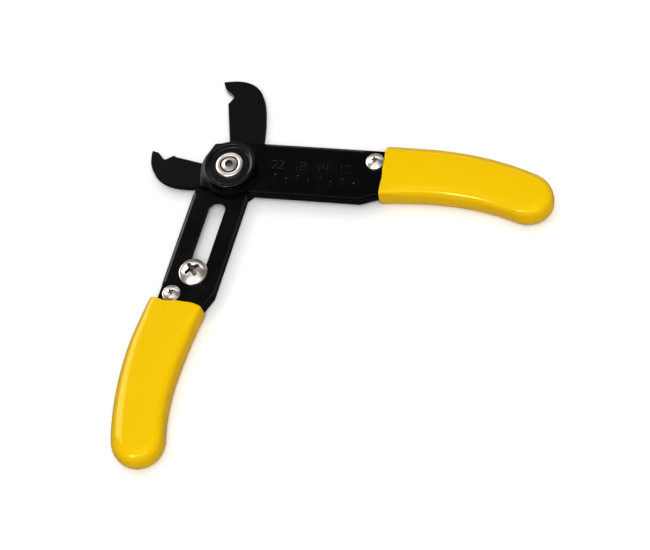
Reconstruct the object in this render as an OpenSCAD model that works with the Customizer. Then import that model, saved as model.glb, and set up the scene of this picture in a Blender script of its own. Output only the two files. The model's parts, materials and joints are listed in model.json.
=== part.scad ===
// Adjustable wire stripper and cutter, about 134 mm long when closed.
// Two mirrored halves cross at one pivot. Each half is a pressed cover plate over a thick
// blade plate, with a gap between them, so the plates of the two halves interleave.
// From the table up: left blade, right blade, left cover plate, right cover plate.
// The origin is on the pivot axis at the table, +X runs along the right handle, +Z is up.

/* [Halves] */
// Angle between the two handles at rest, degrees
open_angle = 96; // [80:1:100]
// Thickness of a blade plate
blade_t = 2.5; // [2:0.1:3]
// Thickness of a cover plate
cover_t = 1.4; // [1:0.1:1.8]
// Running gap between two neighbouring plates
plate_gap = 0.05; // [0.03:0.01:0.1]
// Height of the lowest blade above the table
floor_gap = 1.4; // [1.3:0.1:1.8]

/* [Handles] */
// Distance from the pivot axis to a handle's outer edge
outer_y = 9.95; // [9.6:0.05:10.3]
// Distance from the pivot axis to a handle's inner edge
inner_y = 7.2; // [6.8:0.1:7.6]
// Where the steel goes into the grip, measured along the handle
mouth_x = 48.2; // [47:0.1:50]
// Height of the folded flange on the outer edge
flange_h = 3.4; // [2.6:0.1:3.6]

/* [Jaws] */
// Distance from the pivot to the deepest point of the right half's notch
right_notch_u = 23.2; // [22:0.1:24]
// Distance from the pivot to the deepest point of the left half's notch
left_notch_u = 29.6; // [28:0.1:30.5]
// Length of the right half's jaw, from the pivot to its tip
right_tip_u = 28.2; // [28:0.1:30]
// Length of the left half's jaw, from the pivot to its tip
left_tip_u = 35.6; // [35:0.1:37]

/* [Stop screw] */
// Width of the slot that the stop screw slides in
slot_w = 5.6; // [5:0.1:6]
// Distance from the pivot to the stop screw at rest, at the slot's outer end
stop_x = 36.7; // [35:0.1:37.5]
// Radius of the stop screw's head
stop_head_r = 4.5; // [4:0.05:4.6]

/* [Grips] */
// Thickness of a grip
grip_t = 10.3; // [10:0.1:11]
// Half the width of a grip at its mouth
grip_w = 8.55; // [8.2:0.05:9]
// Half the width of a grip at its far end
grip_end_w = 7.65; // [7.3:0.05:8]
// How far the right grip's far end leans outward
right_grip_lean = -1.4; // [-2:0.1:2]
// How far the left grip's far end leans outward
left_grip_lean = 1.4; // [-2:0.1:2]

/* [Hidden] */
$fn = 96;

steel_black = [0.06, 0.06, 0.065];
blade_black = [0.13, 0.13, 0.135];
bright_steel = [0.78, 0.76, 0.73];
vinyl_yellow = [0.97, 0.78, 0.03];
eps = 0.01;

// Heights of the undersides of the four plates
left_blade_z = floor_gap;
right_blade_z = left_blade_z + blade_t + plate_gap;
left_cover_z = right_blade_z + blade_t + plate_gap;
right_cover_z = left_cover_z + cover_t + plate_gap;
stack_top = right_cover_z + cover_t;

// Pivot: sleeve, its screw and its washers
pivot_r = 2.5;
pivot_fit = 0.05;
bore_r = pivot_r + pivot_fit;
pivot_screw_r = 1.5;
nut_t = 1;
back_washer_t = 0.35;
cup_r = 8.1;
cup_base_t = 1.2;
cup_rim_h = 2.5;
flange_r = 4.3;
flange_t = 1.25;
well_r = 2.95;
well_z = stack_top + cup_base_t + 0.45;
hub_r = 9;
thread_fit = 0.02;

// Cover plate
bend_r = max(1.5, cover_t + 0.1);
flange_from = 10;
flange_to = 41.4;
straight_y = outer_y - 0.65;
eye_r = 9.5;
chamfer_x = 41.5;
chamfer_y = 4.7;
tick_depth = 0.15;
tick_w = 0.35;
tick_l = 3;
tick_y = -4.2;
tick_from = 14.5;
tick_step = 3.55;
tick_count = 8;

// Small screw that ties a cover plate to its blade plate
tie_x = 45.1;
tie_y = 5.4;
tie_r = 1.5;
tie_head_r = 2.9;
tie_head_h = 1.9;
spacer_r = 2.6;

// Blade plate. Each jaw: notch, tip along and across the edge, widest part of the back and how
// square its curve is, then how long and how sloped the top of the hook is.
right_jaw = [right_notch_u, right_tip_u, 1.1, 17, -8.75, 2.3, 2.3, 0.15];
left_jaw = [left_notch_u, left_tip_u, 2.1, 23.5, -10.7, 2.7, 2.7, 0.5];
right_edge_angle = 10;
left_edge_angle = 19.3;
edge_v = 1;
notch_r = 1;
notch_v = 0.15;
notch_before = 2.4;
back_centre_v = 3.5;
waist_u = 8;
waist_rise = 2;
right_tang_inset = 0.3;
left_tang_inset = 1.1;
tang_outer_y = 8.2;
tang_end = 56;
window_from = 9.1;
window_to = 40.8;
window_low = -2.6;
window_high = 5.4;
bevel_from = hub_r + 0.8;
bevel_w = 0.4;
bevel_h = 0.6;
bevel_stop = 0.6;

// Slot and stop
slot_y = 0.6;
slot_from = 11.6;
stop_r = 2.4;
slot_to = stop_x + stop_r + 0.5;
stop_y = slot_y + 0.35;
stop_gap = 0.03;
stop_head_h = 2.8;
lock_washer_t = 0.7;
lock_washer_r = 4.1;
stop_nut_t = 1.6;
stop_nut_flats = 8;

// Grip: its middle line is a cubic curve, square to the handle at the mouth, and its end is round
function grip_line(lean) =
    [[mouth_x, 2.9], [63, 5 + 0.36 * lean], [78, 4.75 + 0.72 * lean], [92.2, lean]];
grip_square_part = 0.15;
grip_cap_l = 8.3;
grip_rings = 20;
grip_cap_rings = 10;
grip_sides = 40;
grip_power = 4.4;
grip_cap_power = 2.6;
core_w = 4.9;

function bezier(p, t) = p[0] * pow(1 - t, 3) + p[1] * 3 * t * pow(1 - t, 2)
    + p[2] * 3 * t * t * (1 - t) + p[3] * pow(t, 3);
function bezier_slope(p, t) = (p[1] - p[0]) * 3 * pow(1 - t, 2)
    + (p[2] - p[1]) * 6 * t * (1 - t) + (p[3] - p[2]) * 3 * t * t;
function unit(v) = v / norm(v);
function left_of(v) = [-v[1], v[0]];
function arc(c, r, from, to, steps) =
    [for (i = [0 : steps]) c + r * [cos(from + (to - from) * i / steps), sin(from + (to - from) * i / steps)]];
function signed_pow(v, p) = sign(v) * pow(abs(v), p);

// Places a half's geometry: the right half lies along +X, the left half is its mirror image
module right_half() { children(); }
module left_half() { rotate([0, 0, -open_angle]) mirror([0, 1, 0]) children(); }

// ---- Cover plates --------------------------------------------------------------------

// Points on one side of the steel inside the grip, side is 1 or -1
function core_side(line, side, from, to, steps) =
    [for (i = [0 : steps]) let (t = from + (to - from) * i / steps)
        bezier(line, t) + left_of(unit(bezier_slope(line, t))) * side * core_w];

module cover_outline(line) {
    difference() {
        polygon(concat(
            [[0, -inner_y], [chamfer_x, -inner_y], [mouth_x, -chamfer_y]],
            core_side(line, -1, 0.22, 1, 8),
            core_side(line, 1, 1, 0.22, 8),
            [[mouth_x, straight_y], [0, straight_y]]));
        translate([flange_from, outer_y - bend_r])
            square([flange_to - flange_from, bend_r + 1]);
    }
    circle(eye_r);
}

// Outer edge folded down: a quarter bend and a short flange
module folded_edge(top) {
    translate([flange_from, 0, top])
        rotate([90, 0, 90])
            linear_extrude(flange_to - flange_from) {
                translate([outer_y - bend_r, -bend_r])
                    intersection() {
                        difference() {
                            circle(bend_r);
                            circle(bend_r - cover_t);
                        }
                        square(bend_r + 1);
                    }
                translate([outer_y - cover_t, -flange_h])
                    square([cover_t, flange_h - bend_r + eps]);
            }
}

// One cover plate. The children are added to its outline.
module cover_plate(z, line) {
    translate([0, 0, z])
        linear_extrude(cover_t)
            difference() {
                union() {
                    cover_outline(line);
                    children();
                }
                circle(bore_r);
                translate([tie_x, tie_y]) circle(tie_r + thread_fit);
            }
    folded_edge(z + cover_t);
}

// Gauge marks, shallow and plain, on the right cover plate
module gauge_marks() {
    for (i = [0 : tick_count - 1])
        translate([tick_from + i * tick_step, tick_y, stack_top - tick_depth])
            cube([tick_w, i % 2 == 0 ? tick_l : tick_l * 0.6, 1]);
}

module right_handle() {
    color(steel_black) right_half()
        difference() {
            cover_plate(right_cover_z, grip_line(right_grip_lean))
                polygon([[0, -inner_y], [-8.6, -inner_y], [-9.3, -2], [-eye_r, 0], [0, 0]]);
            gauge_marks();
        }
}

module slot_outline() {
    for (x = [slot_from + slot_w / 2, slot_to - slot_w / 2])
        translate([x, slot_y]) circle(slot_w / 2);
    translate([slot_from + slot_w / 2, slot_y - slot_w / 2])
        square([slot_to - slot_from - slot_w, slot_w]);
}

module left_handle() {
    color(steel_black) left_half()
        difference() {
            cover_plate(left_cover_z, grip_line(left_grip_lean))
                polygon([[0, straight_y], [-4.6, straight_y], [-8.3, 8], [-9.4, 4], [-eye_r, 0], [0, 0]]);
            translate([0, 0, left_cover_z - 1])
                linear_extrude(cover_t + 2)
                    slot_outline();
        }
}

// ---- Blade plates --------------------------------------------------------------------

// Jaw outline. Its first axis runs along the cutting edge, away from the pivot.
module jaw_outline(jaw) {
    notch_u = jaw[0];
    tip = [jaw[1], jaw[2]];
    back = [jaw[3], jaw[4]];
    // The back is a rounded curve from the tip to its widest part
    half_l = tip[0] - back[0];
    half_w = back_centre_v - back[1];
    from = acos(pow((back_centre_v - tip[1]) / half_w, jaw[5] / 2));
    polygon(concat(
        [[0, edge_v], [notch_u - notch_before, edge_v + 0.1]],
        arc([notch_u, notch_v], notch_r, 215, 315, 10),
        [[tip[0] - jaw[6], tip[1] - jaw[7]], [tip[0] - jaw[7] - 0.2, tip[1]]],
        [for (i = [0 : 24]) let (a = from * (1 - i / 24))
            [back[0] + half_l * pow(sin(a), 2 / jaw[5]),
             back_centre_v - half_w * pow(cos(a), 2 / jaw[5])]],
        [for (i = [1 : 6]) let (k = i / 6)
            [back[0] + (waist_u - back[0]) * k, back[1] + waist_rise * k * k]],
        [[0, -hub_r + 0.5]]));
}

// Small ground bevel on the outer side of the cutting edge
module edge_bevel(jaw, top) {
    translate([bevel_from, edge_v, top - bevel_h])
        rotate([atan(bevel_w / bevel_h), 0, 0])
            cube([jaw[0] - notch_before - bevel_stop - bevel_from, bevel_w + 1, bevel_h * 2]);
}

// Turns a jaw's own frame into the half's frame
module jaw_frame(edge_angle) {
    mirror([1, 0, 0]) rotate([0, 0, edge_angle]) children();
}

module tang_outline(inset) {
    polygon([[0, -inner_y + inset], [chamfer_x, -inner_y + inset], [mouth_x, -chamfer_y + inset],
        [tang_end, -2.4 + inset], [tang_end, tang_outer_y], [0, tang_outer_y]]);
}

// Jaw, pivot eye and tang in one plate. The children are cut out of it.
module blade_plate(jaw, edge_angle, inset) {
    linear_extrude(blade_t)
        difference() {
            union() {
                jaw_frame(edge_angle) jaw_outline(jaw);
                circle(hub_r);
                tang_outline(inset);
            }
            circle(bore_r);
            translate([tie_x, tie_y]) circle(tie_r + thread_fit);
            children();
        }
}

module right_blade() {
    color(blade_black) right_half()
        difference() {
            translate([0, 0, right_blade_z])
                blade_plate(right_jaw, right_edge_angle, right_tang_inset);
            jaw_frame(right_edge_angle) edge_bevel(right_jaw, right_blade_z + blade_t);
        }
}

module left_blade() {
    color(blade_black) left_half()
        difference() {
            translate([0, 0, left_blade_z])
                blade_plate(left_jaw, left_edge_angle, left_tang_inset)
                    translate([window_from, window_low])
                        square([window_to - window_from, window_high - window_low]);
            translate([0, 0, left_blade_z])
                mirror([0, 0, 1])
                    jaw_frame(left_edge_angle) edge_bevel(left_jaw, 0);
        }
}

// ---- Grips ---------------------------------------------------------------------------

// A ring of the grip: place, direction, half width and half thickness
function grip_ring(c, dir, w, h) =
    [for (k = [0 : grip_sides - 1]) let (a = 360 * k / grip_sides,
        s = signed_pow(cos(a), 2 / grip_power) * w,
        z = signed_pow(sin(a), 2 / grip_power) * h,
        p = c + left_of(dir) * s) [p[0], p[1], grip_t / 2 + z]];

function grip_dir(line, t) = let (k = min(1, t / grip_square_part))
    unit(unit(bezier_slope(line, t)) * k + [1, 0] * (1 - k));
function grip_half(t) = grip_w + (grip_end_w - grip_w) * t;

function grip_body_points(line) =
    [for (i = [0 : grip_rings]) let (t = i / grip_rings)
        for (p = grip_ring(bezier(line, t), grip_dir(line, t), grip_half(t), grip_t / 2)) p];
function grip_cap_points(end, dir) =
    [for (i = [1 : grip_cap_rings - 1]) let (a = 90 * i / grip_cap_rings,
        k = pow(cos(a), 2 / grip_cap_power))
        for (p = grip_ring(end + dir * grip_cap_l * pow(sin(a), 2 / grip_cap_power),
            dir, grip_end_w * k, grip_t / 2 * k)) p];

grip_ring_count = grip_rings + grip_cap_rings;
grip_faces = concat(
    [[for (k = [0 : grip_sides - 1]) k]],
    [for (i = [0 : grip_ring_count - 2], k = [0 : grip_sides - 1])
        let (a = i * grip_sides, n = (k + 1) % grip_sides)
        [a + k, a + grip_sides + k, a + grip_sides + n, a + n]],
    [for (k = [0 : grip_sides - 1]) let (a = (grip_ring_count - 1) * grip_sides)
        [a + k, grip_ring_count * grip_sides, a + (k + 1) % grip_sides]]);

// The steel that the grip is moulded round
module grip_pocket(cover_z, blade_z, inset, line) {
    translate([0, 0, cover_z]) linear_extrude(cover_t) cover_outline(line);
    translate([0, 0, blade_z]) linear_extrude(blade_t) tang_outline(inset);
}

module grip(cover_z, blade_z, inset, line) {
    end = bezier(line, 1);
    dir = unit(bezier_slope(line, 1));
    tip = end + dir * grip_cap_l;
    difference() {
        polyhedron(
            points = concat(grip_body_points(line), grip_cap_points(end, dir), [[tip[0], tip[1], grip_t / 2]]),
            faces = grip_faces,
            convexity = 4);
        grip_pocket(cover_z, blade_z, inset, line);
    }
}

module right_grip() {
    color(vinyl_yellow) right_half()
        grip(right_cover_z, right_blade_z, right_tang_inset, grip_line(right_grip_lean));
}

module left_grip() {
    color(vinyl_yellow) left_half()
        grip(left_cover_z, left_blade_z, left_tang_inset, grip_line(left_grip_lean));
}

// ---- Pivot ---------------------------------------------------------------------------

module cup_washer() {
    color(steel_black)
        translate([0, 0, stack_top])
            rotate_extrude()
                polygon([[bore_r, 0], [cup_r - 0.3, 0], [cup_r, 0.3], [cup_r, cup_rim_h - 0.5],
                    [cup_r - 0.3, cup_rim_h - 0.1], [cup_r - 0.75, cup_rim_h],
                    [cup_r - 1.2, cup_rim_h - 0.25], [cup_r - 1.5, cup_base_t + 0.25],
                    [cup_r - 2.1, cup_base_t], [bore_r, cup_base_t]]);
}

module pivot_sleeve() {
    flange_z = stack_top + cup_base_t;
    color(bright_steel)
        difference() {
            union() {
                translate([0, 0, nut_t]) cylinder(r = pivot_r, h = flange_z - nut_t + eps);
                translate([0, 0, flange_z]) cylinder(r = flange_r, h = flange_t - 0.4);
                translate([0, 0, flange_z + flange_t - 0.4])
                    cylinder(r1 = flange_r, r2 = flange_r - 0.5, h = 0.4);
            }
            translate([0, 0, nut_t - 1]) cylinder(r = pivot_screw_r + thread_fit, h = stack_top + 4);
            translate([0, 0, well_z]) cylinder(r = well_r, h = 3);
        }
}

// Button head with a hexagon socket, in the sleeve's well
module pivot_screw() {
    color(bright_steel)
        difference() {
            union() {
                cylinder(r = pivot_screw_r, h = well_z + eps);
                translate([0, 0, well_z])
                    rotate_extrude()
                        polygon([[0, 0], [2.5, 0], [2.5, 0.75], [2.35, 1.05], [1.95, 1.3], [0, 1.4]]);
            }
            translate([0, 0, well_z + 0.5]) cylinder(r = 1.15, h = 2, $fn = 6);
        }
}

// Thin round nut with two cuts for a forked driver
module pivot_nut() {
    color(bright_steel)
        difference() {
            cylinder(r1 = 4.3, r2 = 4.6, h = nut_t);
            translate([0, 0, -1]) cylinder(r = pivot_screw_r + thread_fit, h = nut_t + 2);
            for (a = [0, 180])
                rotate([0, 0, a]) translate([3.4, -0.6, -eps]) cube([2, 1.2, 0.6]);
        }
}

module back_washer() {
    color(bright_steel)
        translate([0, 0, nut_t])
            difference() {
                cylinder(r = 6, h = back_washer_t);
                translate([0, 0, -1]) cylinder(r = bore_r, h = 3);
            }
}

// ---- Screws --------------------------------------------------------------------------

// Pan head on the plane z = 0, with a cross recess
module pan_head(r, h) {
    recess_w = r * 0.24;
    recess_l = r * 1.05;
    difference() {
        rotate_extrude()
            intersection() {
                translate([0, h - r * 1.6]) circle(r * 1.6);
                square([r, h]);
            }
        translate([0, 0, h * 0.42]) {
            for (a = [45, 135])
                rotate([0, 0, a])
                    translate([-recess_l / 2, -recess_w / 2, 0]) cube([recess_l, recess_w, h]);
            cylinder(r1 = recess_w * 0.7, r2 = recess_w * 1.1, h = h * 0.6);
        }
    }
}

module tie_screw(cover_z, blade_z) {
    translate([tie_x, tie_y, 0]) {
        translate([0, 0, blade_z]) cylinder(r = tie_r, h = cover_z + cover_t - blade_z + eps);
        translate([0, 0, cover_z + cover_t]) pan_head(tie_head_r, tie_head_h);
    }
}

module spacer(from, to) {
    translate([tie_x, tie_y, from])
        difference() {
            cylinder(r = spacer_r, h = to - from);
            translate([0, 0, -1]) cylinder(r = tie_r + thread_fit, h = to - from + 2);
        }
}

module right_handle_screw() {
    color(bright_steel) right_half() tie_screw(right_cover_z, right_blade_z);
}

module left_handle_screw() {
    color(bright_steel) left_half() tie_screw(left_cover_z, left_blade_z);
}

module right_spacer() {
    color(bright_steel) right_half() spacer(right_blade_z + blade_t, right_cover_z);
}

module left_spacer() {
    color(bright_steel) left_half() spacer(left_blade_z + blade_t, left_cover_z);
}

// ---- Stop ----------------------------------------------------------------------------

stop_top = left_cover_z + cover_t + stop_gap;
stop_under = left_cover_z - stop_gap;

module stop_screw() {
    shank_z = stop_under - lock_washer_t - stop_nut_t;
    color(bright_steel) left_half()
        translate([stop_x, stop_y, 0]) {
            translate([0, 0, shank_z]) cylinder(r = stop_r - thread_fit, h = stop_top - shank_z + eps);
            translate([0, 0, stop_top]) pan_head(stop_head_r, stop_head_h);
        }
}

module stop_lock_washer() {
    color(bright_steel) left_half()
        translate([stop_x, stop_y, stop_under - lock_washer_t])
            difference() {
                cylinder(r = lock_washer_r, h = lock_washer_t);
                translate([0, 0, -1]) cylinder(r = stop_r + thread_fit, h = 3);
                rotate([0, 0, 200]) translate([0, -0.3, -1]) cube([6, 0.6, 3]);
            }
}

module stop_nut() {
    color(bright_steel) left_half()
        translate([stop_x, stop_y, stop_under - lock_washer_t - stop_nut_t])
            difference() {
                cylinder(r = stop_nut_flats / sqrt(3), h = stop_nut_t, $fn = 6);
                translate([0, 0, -1]) cylinder(r = stop_r + thread_fit, h = stop_nut_t + 2);
            }
}

right_handle();
left_handle();
right_blade();
left_blade();
right_grip();
left_grip();
pivot_sleeve();
pivot_screw();
pivot_nut();
cup_washer();
back_washer();
right_spacer();
left_spacer();
right_handle_screw();
left_handle_screw();
stop_screw();
stop_lock_washer();
stop_nut();
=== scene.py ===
"""Looks of an adjustable wire stripper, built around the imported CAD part. Lengths are in metres."""

import json
import math

import bmesh
import bpy
from mathutils import Matrix, Vector

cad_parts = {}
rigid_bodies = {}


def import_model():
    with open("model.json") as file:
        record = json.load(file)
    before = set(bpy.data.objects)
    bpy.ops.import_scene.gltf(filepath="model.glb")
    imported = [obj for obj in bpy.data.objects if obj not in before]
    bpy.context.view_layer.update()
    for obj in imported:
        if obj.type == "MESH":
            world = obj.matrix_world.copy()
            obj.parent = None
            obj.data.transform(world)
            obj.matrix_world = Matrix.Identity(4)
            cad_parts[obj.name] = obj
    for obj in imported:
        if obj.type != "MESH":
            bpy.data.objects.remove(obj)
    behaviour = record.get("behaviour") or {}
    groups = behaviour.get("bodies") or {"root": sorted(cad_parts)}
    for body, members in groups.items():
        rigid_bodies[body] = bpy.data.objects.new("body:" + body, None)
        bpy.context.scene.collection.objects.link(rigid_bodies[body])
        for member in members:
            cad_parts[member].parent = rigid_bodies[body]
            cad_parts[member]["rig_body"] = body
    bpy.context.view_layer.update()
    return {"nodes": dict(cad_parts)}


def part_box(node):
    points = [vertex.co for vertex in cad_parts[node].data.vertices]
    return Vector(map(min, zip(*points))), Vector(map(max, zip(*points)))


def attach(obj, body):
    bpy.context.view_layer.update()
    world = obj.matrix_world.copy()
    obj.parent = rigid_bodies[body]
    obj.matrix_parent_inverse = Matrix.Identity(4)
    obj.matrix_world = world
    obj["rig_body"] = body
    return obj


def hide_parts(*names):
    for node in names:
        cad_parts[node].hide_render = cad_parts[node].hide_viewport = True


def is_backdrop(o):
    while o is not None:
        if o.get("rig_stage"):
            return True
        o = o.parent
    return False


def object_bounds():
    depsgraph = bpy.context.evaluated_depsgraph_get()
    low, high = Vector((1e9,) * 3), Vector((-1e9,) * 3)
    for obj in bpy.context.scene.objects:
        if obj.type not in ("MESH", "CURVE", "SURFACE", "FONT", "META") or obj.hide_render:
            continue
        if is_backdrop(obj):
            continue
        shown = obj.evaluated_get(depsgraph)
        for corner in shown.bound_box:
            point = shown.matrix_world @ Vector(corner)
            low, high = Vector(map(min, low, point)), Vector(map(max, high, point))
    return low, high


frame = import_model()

MM = 0.001
OPEN_ANGLE = math.radians(96)


# ---- Frames of the two halves --------------------------------------------------------


def right_half(x, y, z):
    """A point of a half's own frame, in millimetres, placed in the row frame."""
    return Vector((x * MM, y * MM, z * MM))


def left_half(x, y, z):
    """The left half is the mirror image, turned about the pivot."""
    c, s = math.cos(-OPEN_ANGLE), math.sin(-OPEN_ANGLE)
    return Vector(((x * c + y * s) * MM, (x * s - y * c) * MM, z * MM))


# ---- Material tools ------------------------------------------------------------------


def new_material(name):
    mat = bpy.data.materials.new(name)
    mat.use_nodes = True
    nt = mat.node_tree
    return mat, nt, nt.nodes["Principled BSDF"]


def node(nt, kind, **sockets):
    n = nt.nodes.new(kind)
    for key, value in sockets.items():
        n.inputs[key.replace("_", " ")].default_value = value
    return n


def position(nt):
    return nt.nodes.new("ShaderNodeTexCoord").outputs["Object"]


def noise(nt, where, scale, detail=4.0, roughness=0.55):
    n = node(nt, "ShaderNodeTexNoise", Scale=scale, Detail=detail, Roughness=roughness)
    nt.links.new(where, n.inputs["Vector"])
    return n.outputs["Fac"]


def remap(nt, value, low, high, to_low, to_high):
    n = nt.nodes.new("ShaderNodeMapRange")
    for key, v in (("From Min", low), ("From Max", high), ("To Min", to_low), ("To Max", to_high)):
        n.inputs[key].default_value = v
    nt.links.new(value, n.inputs["Value"])
    return n.outputs["Result"]


def math_node(nt, operation, a, b):
    n = nt.nodes.new("ShaderNodeMath")
    n.operation = operation
    for i, v in enumerate((a, b)):
        if isinstance(v, (int, float)):
            n.inputs[i].default_value = v
        else:
            nt.links.new(v, n.inputs[i])
    return n.outputs[0]


def mix_colour(nt, factor, a, b):
    n = nt.nodes.new("ShaderNodeMix")
    n.data_type = "RGBA"
    nt.links.new(factor, n.inputs["Factor"])
    for key, v in (("A", a), ("B", b)):
        socket = [s for s in n.inputs if s.name == key and s.type == "RGBA"][0]
        if isinstance(v, tuple):
            socket.default_value = (*v, 1)
        else:
            nt.links.new(v, socket)
    return [s for s in n.outputs if s.type == "RGBA"][0]


def bump(nt, height, strength, distance):
    n = node(nt, "ShaderNodeBump", Strength=strength, Distance=distance)
    nt.links.new(height, n.inputs["Height"])
    return n.outputs["Normal"]


def stretched(nt, where, scale):
    n = nt.nodes.new("ShaderNodeMapping")
    n.inputs["Scale"].default_value = scale
    nt.links.new(where, n.inputs["Vector"])
    return n.outputs["Vector"]


# ---- Materials -----------------------------------------------------------------------


def edge_mask(nt, where):
    """1 on broken edges, whose normals lean, and 0 on flat faces and upright walls."""
    split = nt.nodes.new("ShaderNodeSeparateXYZ")
    nt.links.new(nt.nodes.new("ShaderNodeTexCoord").outputs["Normal"], split.inputs[0])
    up = math_node(nt, "ABSOLUTE", split.outputs["Z"], 0)
    leaning = math_node(nt, "MULTIPLY", remap(nt, up, 0.20, 0.45, 0, 1), remap(nt, up, 0.93, 0.985, 1, 0))
    return math_node(nt, "MULTIPLY", leaning, remap(nt, noise(nt, where, 260, 4), 0.35, 0.60, 0.15, 1))


def enamel_material(name, edge_wear_and_highlight, gloss):
    """Gloss black enamel: orange peel, soft patches of gloss, fine dust, and broken edges lightened with
    rubbed wear and a painted highlight.
    """
    mat, nt, bsdf = new_material(name)
    where = position(nt)
    patches = noise(nt, where, 160, 3)
    dust = noise(nt, where, 2600, 2)
    specks = remap(nt, dust, 0.70, 0.78, 0, 1)
    base = mix_colour(nt, patches, (0.0006, 0.0006, 0.0007), (0.0014, 0.0014, 0.0015))
    base = mix_colour(nt, math_node(nt, "MULTIPLY", specks, 0.20), base, (0.05, 0.05, 0.052))
    # Rubbed wear and a painted highlight: the broken edges are painted a lighter grey
    base = mix_colour(nt, math_node(nt, "MULTIPLY", edge_mask(nt, where), edge_wear_and_highlight), base, (0.06, 0.06, 0.061))
    nt.links.new(base, bsdf.inputs["Base Color"])
    rough = math_node(nt, "ADD", remap(nt, patches, 0.3, 0.7, 0.15, 0.23),
                      math_node(nt, "MULTIPLY", specks, 0.2))
    nt.links.new(rough, bsdf.inputs["Roughness"])
    bsdf.inputs["IOR"].default_value = 1.45
    bsdf.inputs["Specular IOR Level"].default_value = gloss
    peel = noise(nt, where, 900, 2)
    nt.links.new(bump(nt, peel, 0.12, 0.00008), bsdf.inputs["Normal"])
    return mat


def jaw_point(place, edge_angle, u, v):
    """A point of a jaw's own frame, along and across its cutting edge, in the row frame."""
    c, s = math.cos(math.radians(edge_angle)), math.sin(math.radians(edge_angle))
    return place(-(u * c - v * s), u * s + v * c, 0)


def blade_material(name, notch):
    """Satin black oxide with a fine draw grain, broken edges lightened with rubbed wear and a painted
    highlight, and bare ground walls in the notch.
    """
    mat, nt, bsdf = new_material(name)
    where = position(nt)
    patches = noise(nt, where, 220, 4)
    scratch = noise(nt, stretched(nt, where, (300, 4500, 300)), 1.0, 3)
    base = mix_colour(nt, patches, (0.0014, 0.0014, 0.0015), (0.0028, 0.0028, 0.0030))
    # Rubbed wear and a painted highlight: the broken edges are painted a lighter grey
    base = mix_colour(nt, math_node(nt, "MULTIPLY", edge_mask(nt, where), 0.8), base, (0.06, 0.06, 0.061))
    # Distance from the notch in plan, times how upright the face is
    flat = stretched(nt, where, (1, 1, 0))
    gap = nt.nodes.new("ShaderNodeVectorMath")
    gap.operation = "DISTANCE"
    nt.links.new(flat, gap.inputs[0])
    gap.inputs[1].default_value = (notch.x, notch.y, 0)
    near = remap(nt, gap.outputs["Value"], 3.3 * MM, 3.6 * MM, 1, 0)
    split = nt.nodes.new("ShaderNodeSeparateXYZ")
    nt.links.new(nt.nodes.new("ShaderNodeTexCoord").outputs["Normal"], split.inputs[0])
    upright = remap(nt, math_node(nt, "ABSOLUTE", split.outputs["Z"], 0), 0.3, 0.5, 1, 0)
    ground = math_node(nt, "MULTIPLY", near, upright)
    base = mix_colour(nt, math_node(nt, "MULTIPLY", ground, 0.9), base, (0.46, 0.455, 0.45))
    nt.links.new(base, bsdf.inputs["Base Color"])
    nt.links.new(math_node(nt, "ADD", remap(nt, patches, 0.3, 0.7, 0.36, 0.46),
                           remap(nt, scratch, 0.55, 0.75, 0, 0.08)), bsdf.inputs["Roughness"])
    nt.links.new(math_node(nt, "MULTIPLY", ground, 0.5), bsdf.inputs["Metallic"])
    bsdf.inputs["IOR"].default_value = 1.45
    bsdf.inputs["Specular IOR Level"].default_value = 0.05
    nt.links.new(bump(nt, scratch, 0.10, 0.00005), bsdf.inputs["Normal"])
    return mat


def steel_material(name, dark, light, rough):
    """Plated steel with fine turning marks and faint clouding. dark and light are its two tones."""
    mat, nt, bsdf = new_material(name)
    where = position(nt)
    cloud = noise(nt, where, 420, 4)
    marks = noise(nt, where, 5200, 2)
    nt.links.new(mix_colour(nt, cloud, dark, light), bsdf.inputs["Base Color"])
    bsdf.inputs["Metallic"].default_value = 1
    nt.links.new(math_node(nt, "ADD", remap(nt, cloud, 0.3, 0.7, rough, rough + 0.04),
                           remap(nt, marks, 0.5, 0.8, 0, 0.05)), bsdf.inputs["Roughness"])
    nt.links.new(bump(nt, marks, 0.03, 0.00002), bsdf.inputs["Normal"])
    return mat


def vinyl_material():
    """Glossy yellow moulded vinyl: slight unevenness of colour, soft waviness, a few dull scuffs, and
    painted shade on the side walls.
    """
    mat, nt, bsdf = new_material("yellow_vinyl")
    where = position(nt)
    cloud = noise(nt, where, 55, 3)
    grain = noise(nt, where, 1500, 3)
    scuffs = remap(nt, noise(nt, stretched(nt, where, (60, 420, 420)), 1.0, 5), 0.62, 0.80, 0, 1)
    top = mix_colour(nt, cloud, (0.790, 0.480, 0.0008), (0.825, 0.505, 0.0012))
    # Painted shade: faces that lean away from up, the side walls and the underside, are painted darker and
    # deeper in colour than the top
    split = nt.nodes.new("ShaderNodeSeparateXYZ")
    nt.links.new(nt.nodes.new("ShaderNodeTexCoord").outputs["Normal"], split.inputs[0])
    side = remap(nt, split.outputs["Z"], 0.15, 0.75, 1, 0)
    nt.links.new(mix_colour(nt, side, top, (0.700, 0.400, 0.0008)), bsdf.inputs["Base Color"])
    nt.links.new(math_node(nt, "ADD", remap(nt, grain, 0.3, 0.7, 0.11, 0.16),
                           math_node(nt, "MULTIPLY", scuffs, 0.12)), bsdf.inputs["Roughness"])
    bsdf.inputs["IOR"].default_value = 1.5
    bsdf.inputs["Specular IOR Level"].default_value = 0.22
    bsdf.inputs["Specular Tint"].default_value = (0.62, 1.0, 0.34, 1)
    height = math_node(nt, "ADD", noise(nt, where, 130, 2), math_node(nt, "MULTIPLY", grain, 0.012))
    nt.links.new(bump(nt, height, 0.16, 0.00022), bsdf.inputs["Normal"])
    return mat


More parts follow.
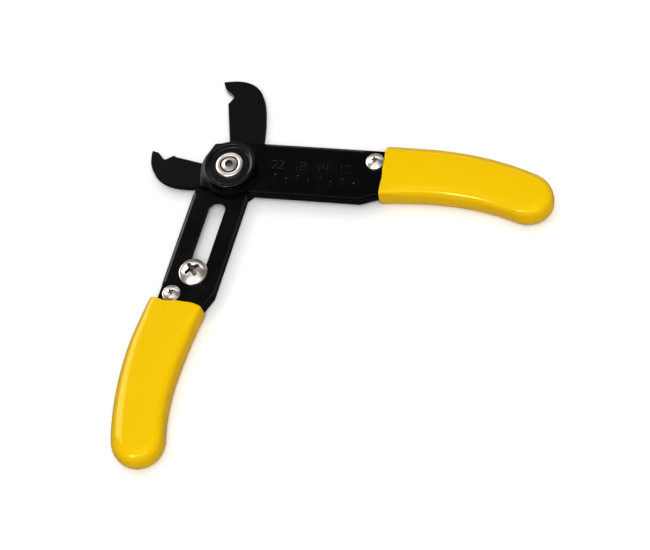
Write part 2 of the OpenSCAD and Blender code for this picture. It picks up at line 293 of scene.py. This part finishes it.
RIGHT_NOTCH = jaw_point(right_half, 10, 23.4, 0.5)
LEFT_NOTCH = jaw_point(left_half, 19.3, 29.9, 0.6)
ENAMEL = enamel_material("black_enamel", 0.5, 0.15)
TURNED_ENAMEL = enamel_material("black_enamel_turned", 0.06, 0.45)
RIGHT_BLADE = blade_material("blade_steel_right", RIGHT_NOTCH)
LEFT_BLADE = blade_material("blade_steel_left", LEFT_NOTCH)
STEEL = steel_material("bright_steel", (0.74, 0.685, 0.64), (0.80, 0.745, 0.70), 0.30)
# A darker, slightly rougher copy of the bright steel, for the pivot's button screw down in the flange's
# well
DARKER_STEEL = steel_material("darker_steel", (0.36, 0.335, 0.31), (0.46, 0.43, 0.40), 0.36)
# Painted shade: a dark brown steel for the faces down in the screws' recesses and the pivot flange's well
PAINTED_RECESS_SHADE = steel_material("recess_painted_shade", (0.055, 0.042, 0.036), (0.16, 0.135, 0.12), 0.38)
VINYL = vinyl_material()


# ---- Mesh tools ----------------------------------------------------------------------


def add_object(name, bm, materials, body, stands_for, sharp=None):
    """Turns bm into a piece that rides on a body and stands for one CAD node."""
    bmesh.ops.remove_doubles(bm, verts=bm.verts, dist=1e-7)
    bmesh.ops.recalc_face_normals(bm, faces=bm.faces)
    mesh = bpy.data.meshes.new(name)
    bm.to_mesh(mesh)
    bm.free()
    for p in mesh.polygons:
        p.use_smooth = True
    if sharp is not None:
        mesh.set_sharp_from_angle(angle=math.radians(sharp))
    for material in materials:
        mesh.materials.append(material)
    obj = bpy.data.objects.new(name, mesh)
    bpy.context.scene.collection.objects.link(obj)
    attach(obj, body)
    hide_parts(stands_for)
    return obj


def grid_faces(bm, rows, wrap=False):
    """Joins rows of vertices, each the same length, into faces."""
    for a, b in zip(rows, rows[1:]):
        n = len(a)
        for i in range(n if wrap else n - 1):
            j = (i + 1) % n
            if len({a[i], a[j], b[j], b[i]}) == 4:
                bm.faces.new((a[i], a[j], b[j], b[i]))


def smoothstep(a, b, x):
    t = min(1, max(0, (x - a) / (b - a)))
    return t * t * (3 - 2 * t)


# ---- Grips ---------------------------------------------------------------------------

GRIP_MOUTH_X = 48.1
GRIP_T = 10.3
GRIP_MOUTH_W, GRIP_END_W = 8.55, 7.65
GRIP_CAP_L = 8.7


def grip_line(lean):
    points = ((GRIP_MOUTH_X, 2.9), (63, 5 + 0.36 * lean), (78, 4.75 + 0.72 * lean), (92.2, lean))
    return [Vector(p) for p in points]


def bezier(p, t):
    s = 1 - t
    return p[0] * s**3 + p[1] * 3 * t * s * s + p[2] * 3 * t * t * s + p[3] * t**3


def bezier_slope(p, t):
    s = 1 - t
    return ((p[1] - p[0]) * 3 * s * s + (p[2] - p[1]) * 6 * t * s + (p[3] - p[2]) * 3 * t * t).normalized()


def grip_profile(top_r, bottom_r):
    """Half of the cross-section, from the middle of the underside round to the middle of the top.
    Each entry is (inset from the widest line in mm, or share of the way in beyond the corner, height)."""
    out = []
    steps = 9
    for i in range(7):
        out.append(("in", 1 - i / 7, 0.06 * (1 - i / 7)))
    for i in range(steps + 1):
        a = math.radians(90 * i / steps)
        out.append(("mm", bottom_r * (1 - math.sin(a)), bottom_r * (1 - math.cos(a))))
    for i in range(1, 6):
        k = i / 6
        out.append(("mm", -0.12 * math.sin(math.pi * k), bottom_r + (GRIP_T - top_r - bottom_r) * k))
    for i in range(steps + 1):
        a = math.radians(90 * i / steps)
        out.append(("mm", top_r * (1 - math.cos(a)), GRIP_T - top_r + top_r * math.sin(a) - 0.10))
    for i in range(1, 8):
        k = i / 7
        out.append(("in", k, GRIP_T - 0.10 + 0.10 * math.sin(math.pi / 2 * k)))
    return out


def grip_piece(name, place, lean, extra_w, crown, nub, body, stands_for):
    """Dipped vinyl grip: one skin with an even rounded edge all round, and a rolled lip at the mouth."""
    line = grip_line(lean)

    def radii(u):
        """The radii of the top and bottom corners. The top is tighter at the mouth, where the skin is
        stretched, and crown makes it broader on the outer side, towards the far end."""
        k = smoothstep(0, 0.22, u[1]) if u[0] == "side" else 1
        tight = 2.3 if u[-1] == 1 else 1.3
        if u[0] == "side":
            outward = (1 + u[2]) / 2 * smoothstep(0.1, 0.9, u[1])
        else:
            outward = (1 + math.sin(u[1])) / 2
        return tight + (3.3 - tight) * k + crown * outward, 4.5 - 0.5 * k

    bm = bmesh.new()
    rails = []
    body_steps, cap_steps = 60, 40

    def station(u):
        """Centre, outward direction, half width and direction along, for a place on the outline."""
        if u[0] == "side":
            t = u[1]
            k = min(1, t / 0.15)
            along = (bezier_slope(line, t) * k + Vector((1, 0)) * (1 - k)).normalized()
            normal = Vector((-along.y, along.x)) * u[2]
            w = GRIP_MOUTH_W + (GRIP_END_W - GRIP_MOUTH_W) * t + extra_w * smoothstep(0, 0.4, t)
            return bezier(line, t), normal, w, None
        a = u[1]
        along = bezier_slope(line, 1)
        normal = Vector((-along.y, along.x))
        return bezier(line, 1), None, GRIP_END_W + extra_w, (along, normal, a)

    outline = [("side", t / body_steps, 1) for t in range(body_steps + 1)]
    outline += [("cap", math.radians(90 - 180 * i / cap_steps)) for i in range(1, cap_steps)]
    outline += [("side", 1 - t / body_steps, -1) for t in range(body_steps + 1)]

    def point(u, entry):
        centre, normal, w, cap = station(u)
        kind, value, z = entry
        radius = radii(u)[0 if z > GRIP_T / 2 else 1]
        inset = value if kind == "mm" else radius + (w - radius) * value
        if cap is None:
            p = centre + normal * (w - inset)
        else:
            along, across, a = cap
            length = max(GRIP_CAP_L - inset, 0)
            k = 2 / 2.05
            c, s = math.cos(a), math.sin(a)
            # A small nub is left where the dip drained from the end
            length += nub * math.exp(-(a / 0.16) ** 2 - ((z - 5.2) / 1.8) ** 2)
            sideways = (w - inset) * math.copysign(abs(s) ** k, s)
            p = centre + along * (length * abs(c) ** k) + across * sideways
        return Vector((p.x, p.y, z))

    for u in outline:
        rails.append([point(u, e) for e in grip_profile(*radii(u))])

    # Lip: rows that roll in from the mouth's ring, each a pull back along x and an inset
    ring = rails[0] + rails[-1][::-1]
    centre = Vector((GRIP_MOUTH_X, 2.9, GRIP_T / 2))
    lip = [(0.0, 0.0), (-0.12, 0.03), (-0.20, 0.14), (-0.25, 0.34), (-0.23, 0.58), (-0.16, 0.80),
           (0.0, 0.98), (0.5, 1.12), (1.2, 1.2), (1.2, 2.4)]

    def wave(p):
        """The mouth's edge isn't quite straight: it wanders a little round the handle."""
        wander = 0.24 * math.sin(p.y * 0.42 + p.z * 0.35 + lean) + 0.10 * math.sin(p.y * 1.1 - p.z * 0.5)
        return wander + 0.25 * math.exp(-((p.y - 5.4) / 2.6) ** 2) * smoothstep(6, 9, p.z)

    def moved(p):
        """The wave fades within a few millimetres of the mouth."""
        return p + Vector((wave(p) * math.exp(-max(0, p.x - GRIP_MOUTH_X) / 2.2), 0, 0))

    def soften(rows):
        return [[moved(p) for p in row] for row in rows]

    def towards_centre(p, d):
        q = p - centre
        half = Vector((0, GRIP_MOUTH_W, GRIP_T / 2))
        return Vector((p.x, centre.y + q.y * max(0, 1 - d / half.y),
                       centre.z + q.z * max(0, 1 - d / half.z)))

    lip_rows = [[towards_centre(p, d) + Vector((dx, 0, 0)) for p in ring] for dx, d in lip]
    rows = [[bm.verts.new(place(*p)) for p in row] for row in soften(rails)]
    grid_faces(bm, rows)
    mouth = [[bm.verts.new(place(*p)) for p in row] for row in soften(lip_rows)]
    grid_faces(bm, mouth, wrap=True)
    bmesh.ops.remove_doubles(bm, verts=bm.verts, dist=1e-6)
    loose = [e for e in bm.edges if e.is_boundary]
    bmesh.ops.holes_fill(bm, edges=loose, sides=0)
    return add_object(name, bm, [VINYL], body, stands_for)


grip_piece("vinyl_grip_right", right_half, -1.4, 0, 0.3, 0.45, "right_half", "right_grip")
grip_piece("vinyl_grip_left", left_half, 1.4, 0.45, 1.6, 0.2, "left_half", "left_grip")


# ---- Screws --------------------------------------------------------------------------


def arc(cx, cy, r, start, end, steps):
    """Points on a turned profile's rounded corner, angles in degrees."""
    return [(cx + r * math.cos(math.radians(start + (end - start) * i / steps)),
             cy + r * math.sin(math.radians(start + (end - start) * i / steps))) for i in range(steps + 1)]


def turned(name, profile, dark, materials, stands_for, sides=192):
    """A ring turned about the pivot from a closed profile of (radius, height) in mm. Faces whose
    middle lies in the box dark, (r0, r1, z0, z1), take the second material."""
    bm = bmesh.new()
    rows = [[bm.verts.new(right_half(r * math.cos(2 * math.pi * i / sides),
                                     r * math.sin(2 * math.pi * i / sides), z))
             for i in range(sides)] for r, z in profile]
    for k, (a, b) in enumerate(zip(rows, rows[1:] + rows[:1])):
        p, q = profile[k], profile[(k + 1) % len(profile)]
        r, z = (p[0] + q[0]) / 2, (p[1] + q[1]) / 2
        shade = 1 if dark and dark[0] <= r <= dark[1] and dark[2] <= z <= dark[3] else 0
        for i in range(sides):
            j = (i + 1) % sides
            bm.faces.new((a[i], a[j], b[j], b[i])).material_index = shade
    body = frame["nodes"][stands_for]["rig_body"]
    obj = add_object(name, bm, materials, body, stands_for, 38)
    obj.modifiers.new("normals", "WEIGHTED_NORMAL").keep_sharp = True
    return obj


def bar_distance(x, y, half_l, half_w, r):
    dx, dy = abs(x) - half_l + r, abs(y) - half_w + r
    return math.hypot(max(dx, 0), max(dy, 0)) + min(max(dx, dy), 0) - r


def cross_recess(size, turn, depth):
    """Depth of a cross recess at a point: four tapering wings that run into a deep middle."""
    c, s = math.cos(turn), math.sin(turn)

    def depth_at(x, y):
        u, v = x * c + y * s, -x * s + y * c
        d = min(bar_distance(u, v, size, size * 0.25, size * 0.12),
                bar_distance(v, u, size, size * 0.25, size * 0.12),
                math.hypot(u, v) - size * 0.46)
        rho = math.hypot(u, v) / size
        return depth * (1 - 0.62 * min(1, rho)) * smoothstep(0.03, -0.13, d / size * 1.6)

    return depth_at


def hex_recess(size, turn, depth):
    def depth_at(x, y):
        d = max(abs(x * math.cos(turn + k * math.pi / 3) + y * math.sin(turn + k * math.pi / 3))
                for k in range(3)) - size
        return depth * smoothstep(0.02, -0.07, d)

    return depth_at


def headed(name, centre, z, head_r, head_h, dome, recess, recess_r, shank, place, body, stands_for,
           sides=160, head_material=None):
    """A screw: dome or pan head with a recess, over a plain shank. shank is (radius, lowest z)."""
    bm = bmesh.new()
    fine = max(20, int(recess_r / 0.055))
    radii = [recess_r * i / fine for i in range(fine + 1)]
    rim = 0.35
    outer = 14
    radii += [recess_r + (head_r - rim - recess_r) * i / outer for i in range(1, outer + 1)]
    sphere = (head_r**2 + dome**2) / (2 * dome)
    rows = []
    for r in radii:
        if r == 0:
            v = bm.verts.new(place(centre[0], centre[1], z + head_h - recess(0, 0)))
            rows.append([v] * sides)
            continue
        row = []
        for i in range(sides):
            a = 2 * math.pi * i / sides
            x, y = r * math.cos(a), r * math.sin(a)
            top = z + head_h - (sphere - math.sqrt(sphere**2 - r * r))
            row.append(bm.verts.new(place(centre[0] + x, centre[1] + y, top - recess(x, y))))
        rows.append(row)
    edge_z = z + head_h - (sphere - math.sqrt(sphere**2 - (head_r - rim) ** 2))
    low_edge = z + 0.18
    for k in range(1, 9):
        a = math.pi / 2 * k / 8
        r = head_r - rim + rim * math.sin(a)
        h = low_edge + (edge_z - low_edge) * math.cos(a)
        rows.append([bm.verts.new(place(centre[0] + r * math.cos(2 * math.pi * i / sides),
                                        centre[1] + r * math.sin(2 * math.pi * i / sides), h))
                     for i in range(sides)])
    for r, h in ((head_r - 0.12, z), (shank[0], z), (shank[0], shank[1] + 0.2), (shank[0] - 0.2, shank[1])):
        rows.append([bm.verts.new(place(centre[0] + r * math.cos(2 * math.pi * i / sides),
                                        centre[1] + r * math.sin(2 * math.pi * i / sides), h))
                     for i in range(sides)])
    for k, (a, b) in enumerate(zip(rows, rows[1:])):
        for i in range(sides):
            j = (i + 1) % sides
            corner = list(dict.fromkeys((a[i], a[j], b[j], b[i])))
            if len(corner) < 3:
                continue
            face = bm.faces.new(corner)
            if k < fine:
                r, angle = radii[k] + recess_r / fine / 2, 2 * math.pi * (i + 0.5) / sides
                # Painted shade: faces down in the recess take the dark recess material
                if recess(r * math.cos(angle), r * math.sin(angle)) > 0.12:
                    face.material_index = 1
    bm.faces.new(rows[-1])
    return add_object(name, bm, [head_material or STEEL, PAINTED_RECESS_SHADE], body, stands_for, 50)


def z_range(name):
    lo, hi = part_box(name)
    return lo.z / MM, hi.z / MM


# Places of the screws along and across their half, then the radius and height of each head
TIE = (45.1, 5.4)
STOP = (36.7, 0.95)
TIE_HEAD = (2.9, 1.9)
STOP_HEAD = (4.5, 2.8)
PIVOT_HEAD = (2.5, 1.4)
for side_name, place, turn, body in (("right", right_half, 0.25, "right_half"),
                                     ("left", left_half, 0.9, "left_half")):
    low, high = z_range(side_name + "_handle_screw")
    headed(f"tie_screw_{side_name}", TIE, high - TIE_HEAD[1], *TIE_HEAD, 1.55,
           cross_recess(1.05, turn, 0.9), 1.4, (1.5, low), place, body, side_name + "_handle_screw", 112)
low, high = z_range("stop_screw")
headed("stop_screw_head", STOP, high - STOP_HEAD[1], *STOP_HEAD, 2.35,
       cross_recess(2.45, math.radians(45), 1.7), 2.5, (2.38, low), left_half,
       "stop_screw", "stop_screw", 176)
low, high = z_range("pivot_screw")
headed("pivot_button_screw", (0, 0), high - PIVOT_HEAD[1], *PIVOT_HEAD, 0.55,
       hex_recess(1.15, 0.3, 0.9), 1.4, (1.5, low), right_half,
       frame["nodes"]["pivot_screw"]["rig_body"], "pivot_screw", 128, DARKER_STEEL)


lo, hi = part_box("cup_washer")
base_z, rim_z, cup_r = lo.z / MM, hi.z / MM, hi.x / MM
floor_z = base_z + 1.2
turned("cup_washer_dished",
       [(2.56, base_z), (cup_r - 0.35, base_z)] + arc(cup_r - 0.3, base_z + 0.3, 0.3, -60, 0, 4)
       + arc(cup_r - 0.25, rim_z - 0.25, 0.25, 0, 90, 6) + arc(cup_r - 0.85, rim_z - 0.25, 0.25, 90, 160, 6)
       + arc(cup_r - 1.74, floor_z + 0.35, 0.35, -20, -90, 6) + [(2.7, floor_z), (2.56, floor_z - 0.1)],
       None, [TURNED_ENAMEL], "cup_washer")
lo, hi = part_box("pivot_sleeve")
sleeve_z, top_z = lo.z / MM, hi.z / MM
well_z, under_z = top_z - 0.8, top_z - 1.25
# Painted shade: the faces down in the flange's well take the dark recess material
turned("pivot_sleeve_flanged",
       [(1.53, sleeve_z), (1.53, well_z), (2.75, well_z)] + arc(2.75, well_z + 0.2, 0.2, -70, 0, 3)
       + arc(3.2, top_z - 0.25, 0.25, 180, 90, 5) + arc(3.75, top_z - 0.55, 0.55, 90, 0, 8)
       + [(4.3, under_z + 0.1), (4.2, under_z), (2.5, under_z), (2.5, sleeve_z + 0.2), (2.3, sleeve_z)],
       (2.0, 3.0, well_z - 0.1, top_z - 0.2), [STEEL, PAINTED_RECESS_SHADE], "pivot_sleeve")


# ---- Cover plate with its stamped scale ----------------------------------------------

DIGITS = {
    "0": ((0, 0, 1, 0), (1, 0, 1, 2), (1, 2, 0, 2), (0, 2, 0, 0)),
    "1": ((0.6, 0, 0.6, 2), (0.2, 1.6, 0.6, 2)),
    "2": ((0, 2, 1, 2), (1, 2, 1, 1.1), (1, 1.1, 0, 0), (0, 0, 1, 0)),
    "4": ((0, 2, 0, 0.9), (0, 0.9, 1, 0.9), (1, 2, 1, 0)),
    "6": ((1, 2, 0, 2), (0, 2, 0, 0), (0, 0, 1, 0), (1, 0, 1, 1), (1, 1, 0, 1)),
    "8": ((0, 0, 1, 0), (1, 0, 1, 2), (1, 2, 0, 2), (0, 2, 0, 0), (0, 1, 1, 1)),
}


def groove(bm, x0, y0, x1, y1, top, width, depth):
    """A cutter for one stroke: a short bar with sloping sides, from the surface down to its depth."""
    along = Vector((x1 - x0, y1 - y0, 0))
    length = along.length
    along.normalize()
    across = Vector((-along.y, along.x, 0))
    start = Vector((x0, y0, 0))
    ends = []
    for z, w in ((top + 0.05, width * 1.25), (top - depth, width * 0.35)):
        a, b = start - along * (w / 2), start + along * (length + w / 2)
        ends.append([a - across * w / 2, b - across * w / 2, b + across * w / 2, a + across * w / 2])
        ends[-1] = [bm.verts.new(right_half(p.x, p.y, z)) for p in ends[-1]]
    up, down = ends
    bm.faces.new(up)
    bm.faces.new(down[::-1])
    for i in range(4):
        j = (i + 1) % 4
        bm.faces.new((up[j], up[i], down[i], down[j]))


def marked_plate():
    """The right cover plate, made from its CAD mesh: its edges are broken first, and then a row of
    stamped gauge numbers is cut in over the ticks."""
    source = frame["nodes"]["right_handle"]
    lo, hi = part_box("right_handle")
    top = hi.z / MM
    digit_w, digit_h, gap, pitch, first, base = 1.4, 1.3, 0.7, 7.1, 12.9, 0.95
    stroke_w, stroke_depth = 0.30, 0.13
    bm = bmesh.new()
    for i, number in enumerate(("22", "18", "14", "10")):
        for k, digit in enumerate(number):
            x = first + i * pitch + k * (digit_w + gap)
            for x0, y0, x1, y1 in DIGITS[digit]:
                groove(bm, x + x0 * digit_w, base + y0 * digit_h,
                       x + x1 * digit_w, base + y1 * digit_h, top, stroke_w, stroke_depth)
    for i in range(8):
        x = 14.5 + i * 3.55 + 0.175
        groove(bm, x, -4.1, x, -1.3 if i % 2 == 0 else -2.5, top, 0.42, 0.12)
    cutter_mesh = bpy.data.meshes.new("cutter")
    bm.to_mesh(cutter_mesh)
    bm.free()
    cutter = bpy.data.objects.new("cutter", cutter_mesh)
    bpy.context.scene.collection.objects.link(cutter)

    def on_tick(v):
        return v.co.z / MM > top - 0.3 and 14 < v.co.x / MM < 40.5 and -4.5 < v.co.y / MM < -1

    bm = bmesh.new()
    bm.from_mesh(source.data)
    bmesh.ops.remove_doubles(bm, verts=bm.verts, dist=1e-6)
    bmesh.ops.dissolve_limit(bm, angle_limit=math.radians(0.5), verts=bm.verts, edges=bm.edges)
    corners = [e for e in bm.edges if len(e.link_faces) == 2 and e.calc_face_angle(0) > math.radians(40)
               and not (on_tick(e.verts[0]) and on_tick(e.verts[1]))]
    bmesh.ops.bevel(bm, geom=corners, offset=0.00028, offset_type="OFFSET", segments=3, profile=0.5,
                    affect="EDGES", clamp_overlap=True)
    blank = bpy.data.meshes.new("blank")
    bm.to_mesh(blank)
    bm.free()
    for attribute in [a for a in blank.attributes if a.name == "custom_normal"]:
        blank.attributes.remove(attribute)
    plate = bpy.data.objects.new("blank", blank)
    bpy.context.scene.collection.objects.link(plate)
    cut = plate.modifiers.new("cut", "BOOLEAN")
    cut.operation, cut.solver, cut.object, cut.use_self = "DIFFERENCE", "EXACT", cutter, True
    bpy.context.view_layer.update()
    mesh = bpy.data.meshes.new_from_object(plate.evaluated_get(bpy.context.evaluated_depsgraph_get()))
    mesh.name = "cover_plate_right"
    bpy.data.objects.remove(plate)
    bpy.data.objects.remove(cutter)
    mesh.materials.clear()
    mesh.materials.append(ENAMEL)
    for p in mesh.polygons:
        upright = abs(p.normal.z) < 0.0005
        p.use_smooth = not (abs(p.normal.z) > 0.9995 or (upright and p.area > 8e-6))
        p.material_index = 0
    mesh.set_sharp_from_angle(angle=math.radians(34))
    obj = bpy.data.objects.new("cover_plate_right", mesh)
    bpy.context.scene.collection.objects.link(obj)
    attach(obj, "right_half")
    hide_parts("right_handle")


marked_plate()


# ---- Finish on the CAD nodes ---------------------------------------------------------


def dress(name, material, bevel=0.00012):
    """Gives a CAD node its material and, by modifiers, slightly broken edges."""
    obj = frame["nodes"][name]
    obj.data.materials.clear()
    obj.data.materials.append(material)
    weld = obj.modifiers.new("weld", "WELD")
    weld.merge_threshold = 1e-6
    flat = obj.modifiers.new("flat", "DECIMATE")
    flat.decimate_type = "DISSOLVE"
    flat.angle_limit = math.radians(0.5)
    edge = obj.modifiers.new("edge", "BEVEL")
    edge.width = bevel
    edge.segments = 3
    edge.limit_method = "ANGLE"
    edge.angle_limit = math.radians(40)
    edge.use_clamp_overlap = True
    for p in obj.data.polygons:
        p.use_smooth = True
    smooth = obj.modifiers.new("normals", "WEIGHTED_NORMAL")
    smooth.keep_sharp = True


dress("left_handle", ENAMEL, 0.00026)
dress("right_blade", RIGHT_BLADE)
dress("left_blade", LEFT_BLADE)
for name in ("pivot_nut", "back_washer", "right_spacer", "left_spacer",
             "stop_lock_washer", "stop_nut"):
    dress(name, STEEL, 0.00008)


# ---- Floor, light and camera ---------------------------------------------------------


def floor():
    mesh = bpy.data.meshes.new("floor")
    size = 3.0
    corners = [(-size, -size, 0), (size, -size, 0), (size, size, 0), (-size, size, 0)]
    mesh.from_pydata(corners, [], [(0, 1, 2, 3)])
    obj = bpy.data.objects.new("floor", mesh)
    bpy.context.scene.collection.objects.link(obj)
    mat, nt, bsdf = new_material("studio_floor")
    where = position(nt)
    nt.links.new(mix_colour(nt, noise(nt, where, 3, 2), (0.92, 0.92, 0.92), (0.94, 0.94, 0.94)),
                 bsdf.inputs["Base Color"])
    bsdf.inputs["Roughness"].default_value = 0.9
    bsdf.inputs["Specular IOR Level"].default_value = 0
    mesh.materials.append(mat)
    obj.visible_glossy = False
    obj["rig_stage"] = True


def area_light(name, place, target, size, energy, sees):
    """A softbox. sees is the kind of light that it gives: diffuse or glossy, never both."""
    light = bpy.data.lights.new(name, "AREA")
    light.shape = "RECTANGLE"
    light.size, light.size_y = size
    light.energy = energy
    obj = bpy.data.objects.new(name, light)
    bpy.context.scene.collection.objects.link(obj)
    obj.location = place
    obj.rotation_euler = (Vector(target) - Vector(place)).to_track_quat("-Z", "Y").to_euler()
    if sees == "diffuse":
        obj.visible_glossy = False
    else:
        obj.visible_diffuse = False


def camera():
    """The photograph's view: above and to the left, turned a little."""
    elevation, azimuth, roll = math.radians(59.997), math.radians(-28.787), math.radians(-21.044)
    target = Vector((0.035288, -0.032338, 0.005))
    distance = 0.719196
    heading = Vector((math.sin(azimuth), math.cos(azimuth), 0))
    forward = heading * math.cos(elevation) + Vector((0, 0, -math.sin(elevation)))
    right = Vector((math.cos(azimuth), -math.sin(azimuth), 0))
    up = right.cross(forward)
    side = right * math.cos(roll) + up * math.sin(roll)
    top = -right * math.sin(roll) + up * math.cos(roll)
    cam = bpy.data.cameras.new("camera")
    cam.sensor_width = 36
    cam.lens = 2382.2 / 650 * 36
    cam.clip_start, cam.clip_end = 0.01, 20
    obj = bpy.data.objects.new("camera", cam)
    bpy.context.scene.collection.objects.link(obj)
    obj.matrix_world = Matrix((
        (side.x, top.x, -forward.x, target.x - forward.x * distance),
        (side.y, top.y, -forward.y, target.y - forward.y * distance),
        (side.z, top.z, -forward.z, target.z - forward.z * distance),
        (0, 0, 0, 1)))
    bpy.context.scene.camera = obj
    return side, top, forward


floor()
side, top, forward = camera()
middle = Vector((0.035, -0.032, 0))
flat_side = Vector((side.x, side.y, 0)).normalized()
flat_top = Vector((top.x, top.y, 0)).normalized()
up = Vector((0, 0, 1))
camera_way = -forward
# Two big fills light every surface evenly, and five softboxes are there for the gloss alone
FILLS = (("fill_front", camera_way * 1.9, 0.6, 22),
         ("fill_top", up * 1.6, 1.6, 16))
GLOSS = (("gloss_key", up * 0.48 - flat_side * 0.34 - flat_top * 0.70, (0.15, 0.15), 3.4),
         ("gloss_side", up * 0.48 - flat_side * 0.66 + flat_top * 0.46, (0.55, 0.65), 8.0),
         ("gloss_back", up * 0.45 + flat_side * 0.10 + flat_top * 0.82, (1.30, 0.12), 2.2),
         ("gloss_front", up * 0.55 - flat_top * 0.80, (1.50, 0.10), 6.0),
         ("gloss_top", camera_way * 1.3, (1.6, 1.6), 7.0))
for name, place, size, power in FILLS:
    area_light(name, middle + place, middle, (size, size), power, "diffuse")
for name, place, size, power in GLOSS:
    area_light(name, middle + place, middle, size, power, "glossy")

world = bpy.data.worlds.new("studio")
bpy.context.scene.world = world
world.use_nodes = True
world.node_tree.nodes["Background"].inputs["Color"].default_value = (1, 1, 1, 1)
world.node_tree.nodes["Background"].inputs["Strength"].default_value = 0.16
bpy.context.scene.view_settings.view_transform = "Standard"
bpy.context.scene.view_settings.look = "None"

lo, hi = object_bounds()
